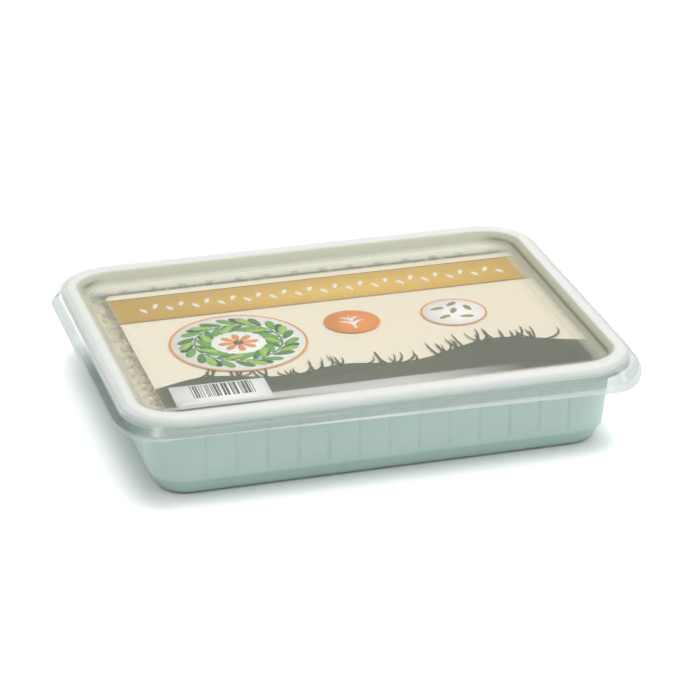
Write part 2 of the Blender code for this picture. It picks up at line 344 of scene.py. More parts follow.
def mixed(material, first, second, share, kind="MIX"):
    """A colour between two, or their product for MULTIPLY. Each is a colour or an output, as the share is."""
    made = shader_node(material, "Mix")
    made.data_type = "RGBA"
    made.blend_type = kind
    for socket, value in (("A", first), ("B", second), ("Factor", share)):
        joined(material, made.inputs[socket], (*value, 1.0) if isinstance(value, tuple) else value)
    return made.outputs["Result"]


def embossed(material, shader, height, **inputs):
    """A bump over a shader's surface, as high as an output says."""
    made = shader_node(material, "Bump", **inputs)
    joined(material, made.inputs["Height"], height)
    joined(material, shader.inputs["Normal"], made.outputs["Normal"])
    return made


def mint_plastic():
    """Satin sheet: two close mints in broad clouds, with painted shade by height round the foot and a painted
    contact shadow at its lowest edge, and a fine drawn grain in its gloss and its surface."""
    material, shader = new_material(
        "mint_plastic", Roughness=0.4, Specular_IOR_Level=0.45, Subsurface_Weight=0.6,
        Subsurface_Scale=0.002, Subsurface_Radius=(1.0, 1.0, 1.0))
    place = shader_node(material, "TexCoord").outputs["Object"]
    tint = mixed(material, MINT, MINT_PALE, noise(material, place, 28.0, 3.0))
    height = shader_node(material, "SeparateXYZ")
    joined(material, height.inputs["Vector"], place)
    level = mapped(material, height.outputs["Z"], From_Max=FOOT_TOP)
    # Painted shade round the foot and a painted contact shadow at its lowest edge, as a ramp by height.
    depth = shader_node(material, "ValToRGB")
    depth.color_ramp.elements[0].color = (*FOOT_EDGE_PAINTED_SHADOW, 1.0)
    depth.color_ramp.elements[1].color = (1.0, 1.0, 1.0, 1.0)
    for position in FOOT_PAINTED_SHADE_AT:
        depth.color_ramp.elements.new(position).color = (*FOOT_PAINTED_SHADE, 1.0)
    joined(material, depth.inputs["Fac"], level)
    deep = mixed(material, tint, depth.outputs["Color"], 1.0, "MULTIPLY")
    joined(material, shader.inputs["Base Color"], deep)
    grain = noise(material, place, 900.0, 2.0)
    joined(material, shader.inputs["Roughness"], mapped(material, grain, To_Min=0.34, To_Max=0.5))
    embossed(material, shader, grain, Strength=0.12, Distance=0.0002)
    return material


placed("tray_shell", tray_shell(), mint_plastic(), TRAY_SHEET, "tray")


# Growing medium
# The block of loose fibrous granules that fills the tray up to the seeds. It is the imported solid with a
# granular finish, because the seeds cover it and the tray's walls hide its sides.

MEDIUM_DARK = (0.09, 0.07, 0.045)
MEDIUM_PALE = (0.34, 0.27, 0.18)


def granular(name, dark, pale, scale):
    """Granules: cells of two tones, rounded up between dark gaps."""
    material, shader = new_material(name, Roughness=0.95, Specular_IOR_Level=0.2)
    place = shader_node(material, "TexCoord").outputs["Object"]
    cells = shader_node(material, "TexVoronoi", Scale=scale)
    joined(material, cells.inputs["Vector"], place)
    ramp = shader_node(material, "ValToRGB")
    for element, color, position in zip(ramp.color_ramp.elements, (dark, pale), (0.3, 0.7)):
        element.color = (*color, 1.0)
        element.position = position
    joined(material, ramp.inputs["Fac"], noise(material, place, scale * 0.7, 5.0))
    joined(material, shader.inputs["Base Color"], ramp.outputs["Color"])
    embossed(material, shader, cells.outputs["Distance"], Strength=0.8, Distance=0.0008).invert = True
    return material


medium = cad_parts["growing_medium"]
medium.data.materials.clear()
medium.data.materials.append(granular("growing_medium", MEDIUM_DARK, MEDIUM_PALE, 420.0))


# Seeds
# Whole grains with husks and pale granules, shaken over the medium and pressed under the card. They lie a
# little lower in the strips beside the card, where they show. One bed carries them, and each grain is a small
# closed body.

seeds_low, seeds_high = (np.array(corner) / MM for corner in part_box("seed_layer"))
card_low, card_high = (np.array(corner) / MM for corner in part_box("printed_card"))
SEEDS_CORNER = TRAY_CORNER + 0.5
SEEDS_GAP = 0.3
BED_BESIDE = 24.9
BED_UNDER = 27.0
BED_FALL = 0.9
BED_FALL_RUN = 6.0
BED_SLOPE = 9.0
BED_ROUGHNESS = 0.25
BED_ROWS, BED_COLUMNS = 71, 91
GRAIN_PITCH = 3.1
GRAIN_JITTER = 0.42
GRAIN_REACH = (0.985, 0.98)
GRAIN_RISE = (0.1, 0.75)
GRAIN_ROUND = 8
GRAIN_RINGS = 5
HUSK_SIZE = (2.3, 1.2, 1.1)
CRUMB_SIZE = (1.75, 1.45, 1.15)
HUSK_SHARE = 0.45
HUSK_DARK = (0.73, 0.625, 0.40)
HUSK_PALE = (0.92, 0.83, 0.60)
CRUMB_DARK = (0.69, 0.615, 0.44)
CRUMB_PALE = (0.92, 0.865, 0.69)


def bed_height(x, y):
    """Smooth step from the low strips to the level under the card, by the distance inside the card's edges.

    It falls once more behind the card, as the distance past the card's back edge.
    """
    inside = np.minimum.reduce([x - card_low[0], card_high[0] - x, y - card_low[1], card_high[1] - y])
    t = np.clip(inside / BED_SLOPE, 0.0, 1.0)
    fall = BED_FALL * np.clip((y - card_high[1] + BED_FALL_RUN / 2) / BED_FALL_RUN, 0.0, 1.0)
    return BED_BESIDE + (BED_UNDER - BED_BESIDE) * t * t * (3 - 2 * t) - fall


def inside_tray(across, along):
    """The square -1..1 carried onto the seeds' rounded rectangle: a line across is as long as it is there."""
    half_x, half_y = seeds_high[:2] - SEEDS_GAP
    y = along * half_y
    past = np.clip(np.abs(y) - SEEDS_CORNER[1], 0.0, None) / (half_y - SEEDS_CORNER[1])
    reach = SEEDS_CORNER[0] + (half_x - SEEDS_CORNER[0]) * np.sqrt(np.clip(1.0 - past**2, 0.0, None))
    return across * reach, y


def seed_bed():
    """A closed bed: a height field over the rounded rectangle, a wall round it and a flat underside."""
    draw = np.random.default_rng(5)
    rows, columns = BED_ROWS, BED_COLUMNS
    across, along = np.meshgrid(np.linspace(-1, 1, columns), np.linspace(-1, 1, rows))
    x, y = inside_tray(across, along)
    z = bed_height(x, y) + draw.uniform(-BED_ROUGHNESS, BED_ROUGHNESS, x.shape)
    top = np.stack([x, y, z], axis=-1)
    index = np.arange(rows * columns).reshape(rows, columns)
    quads = np.stack([index[:-1, :-1], index[:-1, 1:], index[1:, 1:], index[1:, :-1]], axis=-1)
    rim = np.concatenate([index[0, :-1], index[:-1, -1], index[-1, :0:-1], index[:0:-1, 0]])
    foot = top.reshape(-1, 3)[rim]
    foot[:, 2] = seeds_low[2]
    low = rows * columns + np.arange(len(rim))
    walls = np.stack([rim, low, np.roll(low, -1), np.roll(rim, -1)], axis=-1)
    mesh = bpy.data.meshes.new("seed_bed")
    points = np.vstack([top.reshape(-1, 3), foot]) * MM
    faces = [*quads.reshape(-1, 4).tolist(), *walls.tolist(), low[::-1].tolist()]
    mesh.from_pydata(points.tolist(), [], faces)
    return mesh


def grain_shape(crease, blunt):
    """A grain of half size one: rings whose radius is sin(angle)^blunt along X, creased down one side."""
    angle = np.linspace(0.0, math.pi, GRAIN_RINGS + 2)[1:-1]
    turn = np.arange(GRAIN_ROUND) / GRAIN_ROUND * 2 * math.pi
    radius = np.sin(angle)[:, None] ** blunt * (1 - crease * np.exp(-((turn - math.pi / 2) / 0.5) ** 2))
    x = np.broadcast_to(-np.cos(angle)[:, None], radius.shape)
    body = np.stack([x, radius * np.cos(turn), radius * np.sin(turn)], axis=-1).reshape(-1, 3)
    points = np.vstack([body, [[-1.0, 0, 0], [1.0, 0, 0]]])
    index = np.arange(GRAIN_RINGS * GRAIN_ROUND).reshape(GRAIN_RINGS, GRAIN_ROUND)
    beside = np.roll(index, -1, axis=1)
    quads = np.stack([index[:-1], index[1:], beside[1:], beside[:-1]], axis=-1).reshape(-1, 4)
    tail, tip = len(points) - 2, len(points) - 1
    first = np.stack([np.full(GRAIN_ROUND, tail), index[0], beside[0]], axis=-1)
    last = np.stack([np.full(GRAIN_ROUND, tip), beside[-1], index[-1]], axis=-1)
    return points, quads, np.vstack([first, last])


def scattered(name, draw, places, size, shape, spread, tilt):
    """One mesh of many grains: the shape times each grain's size, lumpy, turned and tilted, at its place.

    Heights are kept between the seeds' lowest and highest, and each grain gets a tone between 0 and 1.
    """
    points, quads, corners = shape
    count = len(places)
    scale = np.array(size) * draw.uniform(1 - spread, 1 + spread, (count, 3))
    lumps = 1 + draw.normal(0.0, spread * 0.35, (count, len(points), 1))
    body = points * lumps * scale[:, None, :]
    turn = draw.uniform(0, 2 * math.pi, count)
    lean = draw.normal(0.0, tilt, count)
    roll = draw.uniform(0, 2 * math.pi, count)
    ax = np.stack([np.cos(turn) * np.cos(lean), np.sin(turn) * np.cos(lean), np.sin(lean)], axis=-1)
    side = np.stack([-np.sin(turn), np.cos(turn), np.zeros(count)], axis=-1)
    up = np.cross(ax, side)
    ay = side * np.cos(roll)[:, None] + up * np.sin(roll)[:, None]
    az = np.cross(ax, ay)
    turned = np.einsum("npk,nkj->npj", body, np.stack([ax, ay, az], axis=1)) + places[:, None, :]
    turned[..., 2] = np.clip(turned[..., 2], seeds_low[2], seeds_high[2])
    offset = (np.arange(count) * len(points))[:, None, None]
    faces = [*(quads + offset).reshape(-1, 4).tolist(), *(corners + offset).reshape(-1, 3).tolist()]
    mesh = bpy.data.meshes.new(name)
    mesh.from_pydata((turned.reshape(-1, 3) * MM).tolist(), [], faces)
    tone = mesh.attributes.new("tone", "FLOAT", "POINT")
    tone.data.foreach_set("value", np.repeat(draw.uniform(0, 1, count), len(points)).astype(np.float32))
    return mesh


def attribute(material, name):
    """The output that reads a number kept at each point of the mesh."""
    made = shader_node(material, "Attribute")
    made.attribute_name = name
    return made.outputs["Fac"]


def grain_skin(name, dark, pale):
    """Each grain has its own tone between two colours, streaked and mottled, with a dull sheen."""
    material, shader = new_material(name, Roughness=0.7, Specular_IOR_Level=0.3)
    place = shader_node(material, "TexCoord").outputs["Object"]
    mottle = noise(material, place, 700.0, 4.0)
    shade = mapped(material, attribute(material, "tone"), To_Min=-0.4, To_Max=0.45)
    both = worked(material, "Math", "MULTIPLY_ADD", mottle, 0.9, shade)
    joined(material, shader.inputs["Base Color"], mixed(material, dark, pale, both.outputs["Value"]))
    embossed(material, shader, mottle, Strength=0.5, Distance=0.0003)
    return material


def grain_places(draw):
    """A jittered grid of places over the bed, a little above it."""
    rows = round(2 * seeds_high[1] / GRAIN_PITCH)
    columns = round(2 * seeds_high[0] / GRAIN_PITCH)
    across, along = np.meshgrid((np.arange(columns) + 0.5) / columns, (np.arange(rows) + 0.5) / rows)
    jitter = draw.uniform(-GRAIN_JITTER, GRAIN_JITTER, (2, rows, columns))
    across = 2 * (across + jitter[0] / columns) - 1
    along = 2 * (along + jitter[1] / rows) - 1
    x, y = inside_tray(across * GRAIN_REACH[0], along * GRAIN_REACH[1])
    z = bed_height(x, y) + draw.uniform(*GRAIN_RISE, x.shape)
    return np.stack([x, y, z], axis=-1).reshape(-1, 3)


draw = np.random.default_rng(17)
places = grain_places(draw)
is_husk = draw.uniform(0, 1, len(places)) < HUSK_SHARE
placed("seed_bed", seed_bed(), granular("seed_bed", CRUMB_DARK, CRUMB_PALE, 520.0))
husks = scattered("husked_grains", draw, places[is_husk], HUSK_SIZE, grain_shape(0.3, 0.75), 0.16, 0.3)
crumbs = scattered("granules", draw, places[~is_husk], CRUMB_SIZE, grain_shape(0.0, 0.5), 0.3, 0.6)
placed("husked_grains", husks, grain_skin("husks", HUSK_DARK, HUSK_PALE), replaces="seed_layer")
placed("granules", crumbs, grain_skin("granules", CRUMB_DARK, CRUMB_PALE))


# Printed card
# A thin coated card with round corners that lies on the seeds under the lid. Its ground is cream, warmer
# towards the right, with a faint fibre in the coating.

CARD_CORNER = 3.0
CARD_EDGE = 0.06
CARD_WARM_FROM, CARD_WARM_TO = -0.04, 0.08
CARD_CREAM = (0.87, 0.79, 0.62)
CARD_WARM = (0.835, 0.745, 0.575)


def card_outline(inset):
    """The card's outline, as a loop of points: its corners are quarter circles."""
    half = (card_high[:2] - card_low[:2]) / 2 - inset
    corner = half - (CARD_CORNER - inset)
    loop = rounded_loop(corner, np.empty(0), np.empty(0), 8)
    return ring_points(loop, half[0], half[1], 0.0)[:, :2] + (card_high[:2] + card_low[:2]) / 2


def card_stock():
    """Rings of the outline from the underside up round the edge, with a flat face below and above."""
    levels = (
        (CARD_EDGE, card_low[2]), (0.0, card_low[2] + CARD_EDGE),
        (0.0, card_high[2] - CARD_EDGE), (CARD_EDGE, card_high[2]))
    rings = [np.insert(card_outline(inset), 2, height, axis=1) for inset, height in levels]
    return lofted("card_stock", np.stack(rings), upward=False)


def printed(name, color, second=None):
    """Ink on coated card: a colour with a slight uneven cover, drifting to a second colour to the right."""
    material, shader = new_material(name, Roughness=0.5, Specular_IOR_Level=0.4)
    place = shader_node(material, "TexCoord").outputs["Object"]
    parts = shader_node(material, "SeparateXYZ")
    joined(material, parts.inputs["Vector"], place)
    across = mapped(material, parts.outputs["X"], From_Min=CARD_WARM_FROM, From_Max=CARD_WARM_TO)
    ground = mixed(material, color, second or color, across)
    cover = mapped(material, noise(material, place, 1600.0, 2.0), To_Min=0.9, To_Max=1.1)
    joined(material, shader.inputs["Base Color"], mixed(material, ground, cover, 1.0, "MULTIPLY"))
    embossed(material, shader, noise(material, place, 260.0, 3.0), Strength=0.06, Distance=0.0004)
    return material


card_cream = printed("card_cream", CARD_CREAM, CARD_WARM)
placed("card_stock", card_stock(), card_cream, replaces="printed_card")


# Print on the card
# Flat inks in layers: a tan band with a dark rule and a row of grains at the back, dark hills with grass on
# their crest all along the front, and between them a flower in a ring of leaves, an orange dot with a sprig
# and a round picture of seeds.

INK_STEP = 0.012
INK_SHEET = 0.008
PRINT_INSET = 0.05
BAND_LOW = 26.0
BAND_HIGH = 48.4
RULE_WIDTH = 0.55
TAN = (0.765, 0.475, 0.052)
RULE_BROWN = (0.17, 0.12, 0.06)
MOTIF_DARK = (0.07, 0.086, 0.032)
HILLS_LEVEL = -38.0
HILL_BUMPS = ((9.0, -58.0, 20.0), (6.0, -8.0, 16.0), (13.0, 52.0, 24.0))
CREST_POINTS = 90
CREST_BLADES = 60
CREST_MARGIN = 8
ORANGE = (0.88, 0.29, 0.01)
PICTURE_WHITE = (0.93, 0.93, 0.90)
SEED_BROWN = (0.47, 0.31, 0.11)
LEAF_GREENS = ((0.02, 0.075, 0.012), (0.06, 0.22, 0.02), (0.14, 0.40, 0.03), (0.33, 0.60, 0.07))


def ink_level(layer):
    """The underside of an ink layer, in steps above the card."""
    return card_high[2] + INK_STEP * layer


def flat_shapes(name, outlines, layer, rise=0.0):
    """One flat face for each outline, an array of shapes by points by two, each rise above the last."""
    outlines = np.asarray(outlines, float)
    count, corners = outlines.shape[:2]
    height = ink_level(layer) + rise * np.arange(count)
    height = np.broadcast_to(height[:, None, None], (count, corners, 1))
    points = np.concatenate([outlines, height], axis=-1).reshape(-1, 3)
    mesh = bpy.data.meshes.new(name)
    faces = np.arange(count * corners).reshape(count, corners)
    mesh.from_pydata((points * MM).tolist(), [], faces.tolist())
    return mesh


def inked(name, mesh, material):
    """A print layer: the faces get the thickness of the ink upwards and stay on the card."""
    piece = placed(name, mesh, material)
    film = piece.modifiers.new("film", "SOLIDIFY")
    film.thickness = INK_SHEET * MM
    film.offset = 1.0
    return piece


def disc(middle, radius, points=96):
    """A circle's outline."""
    turn = np.arange(points) / points * 2 * math.pi
    return np.array(middle) + radius * np.column_stack([np.cos(turn), np.sin(turn)])


def ring(name, middle, radius, width, layer):
    """A flat ring between two circles."""
    outer, inner = disc(middle, radius), disc(middle, radius - width)
    points = np.vstack([outer, inner])
    index = np.arange(len(outer))
    beside = np.roll(index, -1)
    faces = np.stack([index, beside, beside + len(outer), index + len(outer)], axis=-1)
    mesh = bpy.data.meshes.new(name)
    mesh.from_pydata((np.insert(points, 2, ink_level(layer), axis=1) * MM).tolist(), [], faces.tolist())
    return mesh


def blades(root, tip, bow, width, steps=7):
    """Outlines of blades of grass: a centreline from root to tip that bows sideways as bow * 4t(1 - t), and
    a half width that falls nearly as the square root of 1 - t."""
    root, tip = np.asarray(root, float), np.asarray(tip, float)
    bow, width = np.asarray(bow, float)[:, None, None], np.asarray(width, float)[:, None, None]
    t = np.linspace(0.0, 1.0, steps)[None, :, None]
    run = (tip - root)[:, None, :]
    length = np.linalg.norm(run, axis=-1, keepdims=True)
    side = np.stack([-run[..., 1], run[..., 0]], axis=-1) / length
    line = root[:, None, :] + run * t + side * bow * t * (1 - t) * 4
    half = side * width / 2 * np.sqrt(1.0 - t * 0.995)
    return np.concatenate([line - half, (line + half)[:, ::-1]], axis=1)


def grains(middles, turns, length, width, steps=16):
    """Outlines of grains, leaves or petals: along each it is cos(angle), across it
    sin(angle) * (1 + 0.25 cos(angle)), turned about its middle."""
    angle = np.linspace(0.0, 2 * math.pi, steps, endpoint=False)
    along = length / 2 * np.cos(angle)
    across = width / 2 * np.sin(angle) * (1 + 0.25 * np.cos(angle))
    cos, sin = np.cos(turns)[:, None], np.sin(turns)[:, None]
    flat = np.stack([along * cos - across * sin, along * sin + across * cos], axis=-1)
    return flat + np.asarray(middles, float)[:, None, :]


def hills():
    """Bumps of height * exp(-((x - middle) / width)^2) over a level, from the card's left edge to its right.
    The outline goes on round the card's two front corners."""
    left, right = card_low[0] + PRINT_INSET, card_high[0] - PRINT_INSET
    x = np.linspace(right, left, CREST_POINTS)
    crest = HILLS_LEVEL
    for height, middle, width in HILL_BUMPS:
        crest = crest + height * np.exp(-(((x - middle) / width) ** 2))
    top = np.column_stack([x, crest])
    radius = CARD_CORNER - PRINT_INSET
    corners = []
    for middle, start in ((left + radius, math.pi), (right - radius, 1.5 * math.pi)):
        turn = start + np.linspace(0.0, math.pi / 2, 7)
        centre = np.array([middle, card_low[1] + CARD_CORNER])
        corners.append(centre + radius * np.column_stack([np.cos(turn), np.sin(turn)]))
    return np.vstack([top, *corners]), top


def strip(low, high):
    """The corners of a strip that runs right across the card."""
    left, right = card_low[0] + PRINT_INSET, card_high[0] - PRINT_INSET
    return [(left, low), (right, low), (right, high), (left, high)]


inked("tan_band", flat_shapes("tan_band", [strip(BAND_LOW, BAND_HIGH)], 1), printed("ink_tan", TAN))
rule = flat_shapes("dark_rule", [strip(BAND_HIGH - RULE_WIDTH, BAND_HIGH)], 2)
inked("dark_rule", rule, printed("ink_rule", RULE_BROWN))
motif_ink = printed("ink_dark", MOTIF_DARK)
hill_outline, crest = hills()
inked("hills", flat_shapes("hills", [hill_outline], 1), motif_ink)
sway = np.random.default_rng(3)
crest_places = sway.integers(CREST_MARGIN, CREST_POINTS - CREST_MARGIN, CREST_BLADES)
crest_roots = crest[crest_places] - (0, 0.8)
lengths = sway.uniform(5.0, 13.0, CREST_BLADES)
leans = sway.normal(0.12, 0.3, CREST_BLADES)
crest_tips = crest_roots + lengths[:, None] * np.column_stack([np.sin(leans), np.cos(leans)])
crest_blades = blades(crest_roots, crest_tips, -leans * lengths * 0.35, sway.uniform(0.7, 1.3, CREST_BLADES))
inked("hill_grass", flat_shapes("hill_grass", crest_blades, 2, 0.0002), motif_ink)

orange_ink = printed("ink_orange", ORANGE)
white_ink = printed("ink_white", PICTURE_WHITE)
WREATH_PICTURE = np.array([-39.0, -3.0])
WREATH_RING = 25.5
SEED_PICTURE = np.array([45.0, 2.0])
SEED_RING = 12.5
DOT = np.array([6.0, 4.0])
DOT_RADIUS = 10.5
WREATH_RING_WIDTH, SEED_RING_WIDTH = 0.9, 0.8
grounds = [disc(WREATH_PICTURE, WREATH_RING), disc(SEED_PICTURE, SEED_RING)]
inked("picture_grounds", flat_shapes("picture_grounds", grounds, 3), white_ink)
inked("wreath_ring", ring("wreath_ring", WREATH_PICTURE, WREATH_RING, WREATH_RING_WIDTH, 4), orange_ink)
inked("seed_ring", ring("seed_ring", SEED_PICTURE, SEED_RING, SEED_RING_WIDTH, 4), orange_ink)
inked("orange_dot", flat_shapes("orange_dot", [disc(DOT, DOT_RADIUS)], 4), orange_ink)

sprig_roots = DOT + np.array([(0, -6.5), (0, -2.5), (0, -2.5), (0, 1.0), (0, 1.0)])
sprig_tips = DOT + np.array([(0, 7.0), (-5.0, 0.8), (5.0, 0.8), (-3.8, 4.6), (3.8, 4.6)])
sprig = blades(sprig_roots, sprig_tips, [0, -0.9, 0.9, -0.7, 0.7], [0.9, 2.0, 2.0, 1.7, 1.7])
inked("dot_sprig", flat_shapes("dot_sprig", sprig, 5, 0.0002), white_ink)

STEM_RADIUS, STEM_WIDTH = 16.0, 0.7
LEAF_COUNT = 14
LEAF_LENGTH, LEAF_WIDTH = 8.4, 3.3
LEAF_OUT, LEAF_LEAN = 3.2, math.radians(40)
leaf_inks = [printed(f"ink_green_{number}", green) for number, green in enumerate(LEAF_GREENS)]
stem = ring("wreath_stem", WREATH_PICTURE, STEM_RADIUS + STEM_WIDTH / 2, STEM_WIDTH, 4)
inked("wreath_stem", stem, leaf_inks[1])
for number, ink in enumerate(leaf_inks):
    turn = (np.arange(LEAF_COUNT) + number / len(leaf_inks)) / LEAF_COUNT * 2 * math.pi
    side = np.where((np.arange(LEAF_COUNT) + number) % 2, 1.0, -1.0)
    reach = STEM_RADIUS + LEAF_OUT * side
    middles = WREATH_PICTURE + reach[:, None] * np.column_stack([np.cos(turn), np.sin(turn)])
    name = f"wreath_leaves_{number}"
    leaves = grains(middles, turn + math.pi / 2 - side * LEAF_LEAN, LEAF_LENGTH, LEAF_WIDTH)
    inked(name, flat_shapes(name, leaves, 5 + number, 0.0002), ink)

PETAL_COUNT = 8
PETAL_OUT, PETAL_LENGTH, PETAL_WIDTH = 4.6, 6.0, 2.7
HEART_RADIUS = 2.0
petal_turn = np.arange(PETAL_COUNT) / PETAL_COUNT * 2 * math.pi
petal_middles = WREATH_PICTURE + PETAL_OUT * np.column_stack([np.cos(petal_turn), np.sin(petal_turn)])
petals = grains(petal_middles, petal_turn, PETAL_LENGTH, PETAL_WIDTH)
inked("flower_petals", flat_shapes("flower_petals", petals, 5), orange_ink)
heart = flat_shapes("flower_heart", [disc(WREATH_PICTURE, HEART_RADIUS)], 6)
inked("flower_heart", heart, printed("ink_heart", RULE_BROWN))

seed_middles = SEED_PICTURE + np.array([
    (-4.6, -3.6), (3.6, -5.0), (0.2, 1.2), (-5.2, 4.6), (6.2, 2.6), (1.2, 7.4)])
seed_turns = np.radians([28.0, -12.0, 64.0, 8.0, 102.0, 40.0])
seeds = grains(seed_middles, seed_turns, 5.4, 2.5)
inked("picture_seeds", flat_shapes("picture_seeds", seeds, 4), printed("ink_seed", SEED_BROWN))
creases = grains(seed_middles, seed_turns, 4.2, 0.45)
inked("picture_creases", flat_shapes("picture_creases", creases, 5), printed("ink_crease", RULE_BROWN))

ROW_COUNT = 29
ROW_MIDDLE, ROW_SWING = (BAND_LOW + BAND_HIGH - RULE_WIDTH) / 2, 1.6
row_x = np.linspace(-66.0, 74.0, ROW_COUNT)
is_odd = np.arange(ROW_COUNT) % 2
row_turn = np.radians(np.where(is_odd, 68.0, 112.0))
row_middle = np.column_stack([row_x, ROW_MIDDLE + ROW_SWING * np.where(is_odd, 1.0, -1.0)])
inked("band_grains", flat_shapes("band_grains", grains(row_middle, row_turn, 4.6, 1.9), 3), white_ink)


# Bar label
# A small white paper label on the card's front left, with plain upright bars that stand for no number.

LABEL_MIDDLE = np.array([-55.4, -43.2])
LABEL_HALF = np.array([17.4, 8.2])
LABEL_TURN = math.radians(-1.6)
BARS_FROM, BARS_TO = -11.0, 12.6
BARS_LOW, BARS_HIGH = -3.0, 7.4
BAR_WIDTHS = [0.3, 0.3, 0.6, 0.9]
BAR_DRAWS = 54
BAR_INK = (0.055, 0.05, 0.045)
LABEL_WHITE = (0.97, 0.98, 0.93)


def on_label(flat):
    """Turns and moves outlines from the label's own middle to its place."""
    cos, sin = math.cos(LABEL_TURN), math.sin(LABEL_TURN)
    return np.asarray(flat, float) @ np.array([[cos, sin], [-sin, cos]]) + LABEL_MIDDLE


label_corners = LABEL_HALF * np.array([(-1, -1), (1, -1), (1, 1), (-1, 1)])
label_paper = printed("label_paper", LABEL_WHITE)
inked("bar_label", flat_shapes("bar_label", [on_label(label_corners)], 3), label_paper)
bar_draw = np.random.default_rng(29)
edges = BARS_FROM + np.cumsum(bar_draw.choice(BAR_WIDTHS, BAR_DRAWS))
edges = edges[edges < BARS_TO]
edges = edges[: len(edges) // 2 * 2].reshape(-1, 2)
left, right = edges[:, 0], edges[:, 1]
low, high = np.full(len(left), BARS_LOW), np.full(len(left), BARS_HIGH)
bars = np.stack([
    np.stack([left, low], axis=-1), np.stack([right, low], axis=-1),
    np.stack([right, high], axis=-1), np.stack([left, high], axis=-1),
], axis=1)
inked("label_bars", flat_shapes("label_bars", on_label(bars), 4), printed("ink_bars", BAR_INK))


# Lid
# One thin clear sheet, drawn over a tool: a sunk panel, a raised rim, an outer wall with a snap lug in each
# corner, and a skirt that flares out and drops at the corners for the fingers. It is milky white where it is
# drawn most, on the rim and along the cut edge, and a little grey where it only bends the light. Its haze
# also carries painted highlights on the lugs, painted light on the left shoulder and at the back of the
# panel, a painted reflection at its front, and painted shade on the recess walls, along the front of the
# panel and down the left skirt.

lid_high = np.array(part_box("lid")[1]) / MM
LID_SHEET = 0.45
LID_BEND = 0.8
LID_CORNER = np.array([72.0, 52.1])
LID_SIDE = (70.5, 50.6)
LID_TOP = lid_high[2]
SKIRT_ROOM = 0.05
SKIRT_X, SKIRT_Y = lid_high[0], lid_high[1] - SKIRT_ROOM
RIM_X, RIM_Y = SKIRT_X - 6.3, SKIRT_Y - 6.3
PANEL_Z = LID_TOP - 4.2
LUG_HEIGHT = 0.6
LUG_TURN = math.radians(33.75)
LUG_HALF_TURN = math.radians(10.0)
LOBE_DROP = 1.9
LOBE_SPREAD = 0.4
SKIRT_LIFT = 0.35
SKIRT_TWIST = 1.6 / 75.0
SHOULDER_FROM, WALL_FROM, SKIRT_FROM = 1.0, 2.5, 3.5
# Painted highlight: white haze down each lug's wall stands in for light catching the lug.
LUG_HIGHLIGHT_HAZE, LUG_HIGHLIGHT_WHITE = 0.26, 0.7
LUG_HIGHLIGHT_FROM, LUG_HIGHLIGHT_FULL, LUG_HIGHLIGHT_TO = 1.7, 3.1, 5.2
LOBE_CLEAR = 0.12
# Painted light: extra haze lightens the left shoulder where no lamp reaches it.
LEFT_SHOULDER_PAINTED_LIGHT = 0.22
# Painted light: more haze at the back of the panel and up its recess wall, as the lit wall behind the card.
BACK_PAINTED_LIGHT = 0.5
# Painted shade: the back haze thins in narrow scallops, as the flutes' shadows at the card's back edge.
SCALLOP_SHADE, SCALLOP_SHADE_WIDTH = 0.6, 0.12
SCALLOP_SHADE_SHIFT = 2.6
SCALLOP_SHADE_INSET = 14.0
# Painted reflection: more haze where the panel bends up at the front, fading towards the right.
FRONT_PAINTED_REFLECTION, FRONT_REFLECTION_END = 0.42, 55.0
# Painted shadow: a dark line in the panel's front, strongest on the left and fading towards the middle.
SHADOW_LINE_HAZE, FRONT_MARKS_FADE = 0.8, 45.0
RIGHT_CLEAR, RIGHT_CLEAR_INSET = 0.7, 11.0
# Painted shade and reflection: a beige tint on the panel's edge and recess walls, weaker at the front.
FRONT_STRAW_SHADE_LOSS = 0.6
# Painted shade: a greenish-brown tint on the recess walls, most on the right and at the corners, as the
# tray's shaded wall showing through.
OLIVE_SHADE_HAZE, OLIVE_SHADE_SHARE = 0.25, 0.85
LEFT_OLIVE_SHADE = 0.35
# Smoky sheet dims what shows through the walls and skirt. Along the left it is also painted shade, thin
# mid-side and deepest towards the front.
FRONT_SMOKE, RIGHT_SMOKE = 0.15, 0.50
LEFT_SMOKE_AND_SHADE_AT = (-16.0, 3.0, 24.0)
LEFT_SMOKE_AND_SHADE = (0.62, 0.12, 0.36)
RIGHT_FADE = 0.6
LEFT_FADE_FROM, LEFT_FADE = 0.45, 0.4
SIDE_SATIN = 0.75
GLANCE_MOST = 0.8
SHEET_GREY = (0.30, 0.33, 0.32)
# The beige tint of the painted shade and reflection.
SHEET_STRAW_SHADE_REFLECTION = (0.735, 0.69, 0.465)
SHEET_OLIVE_SHADE = (0.20, 0.18, 0.09)
# The colour of the painted shadow line.
SHEET_PAINTED_SHADOW = (0.13, 0.14, 0.12)
SHEET_MILK = (0.93, 0.94, 0.91)
SHEET_CLEAR = (0.985, 0.99, 0.985)
SHEET_SMOKE_AND_SHADE = (0.48, 0.54, 0.51)


